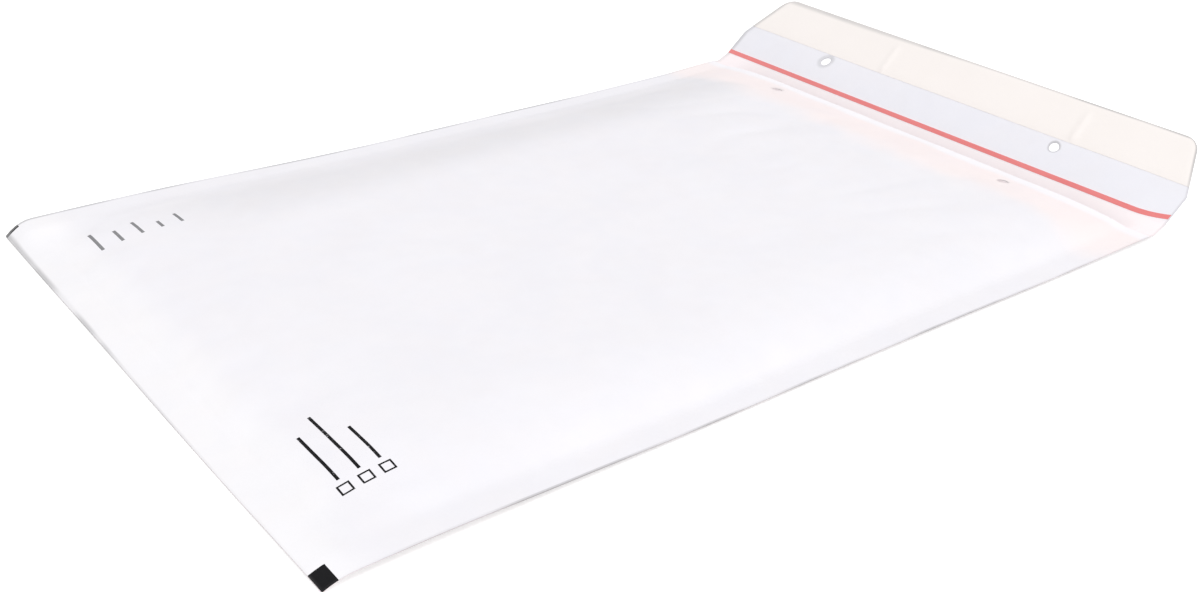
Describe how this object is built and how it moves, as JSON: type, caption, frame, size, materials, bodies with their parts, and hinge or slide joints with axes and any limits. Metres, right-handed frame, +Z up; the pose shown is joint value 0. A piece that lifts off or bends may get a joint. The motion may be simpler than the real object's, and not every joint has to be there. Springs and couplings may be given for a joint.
{
  "type": "padded envelope",
  "caption": "Flat paper mailer lined with bubble film, sealed along its sides and bottom, with the flap open to show a tear strip and a peel-off liner over the adhesive.",
  "frame": {"origin": "middle of the back panel's flat underside, where the envelope lies on a table", "axes": "+X along the length towards the mouth and flap, +Y across the width, +Z up out of the front panel"},
  "size_m": [0.389, 0.25, 0.0306],
  "materials": {
    "paper": "matte bleached paper",
    "bubble_film": "clear soft film",
    "tear_strip": "thin red tape",
    "adhesive": "tacky hot-melt band",
    "release_liner": "smooth silicone-coated paper"
  },
  "bodies": {
    "root": {"back_panel": "paper", "front_panel": "paper", "back_bubble_film": "bubble_film", "front_bubble_film": "bubble_film", "tear_strip": "tear_strip", "adhesive_strip": "adhesive", "release_liner": "release_liner"}
  },
  "joints": []
}
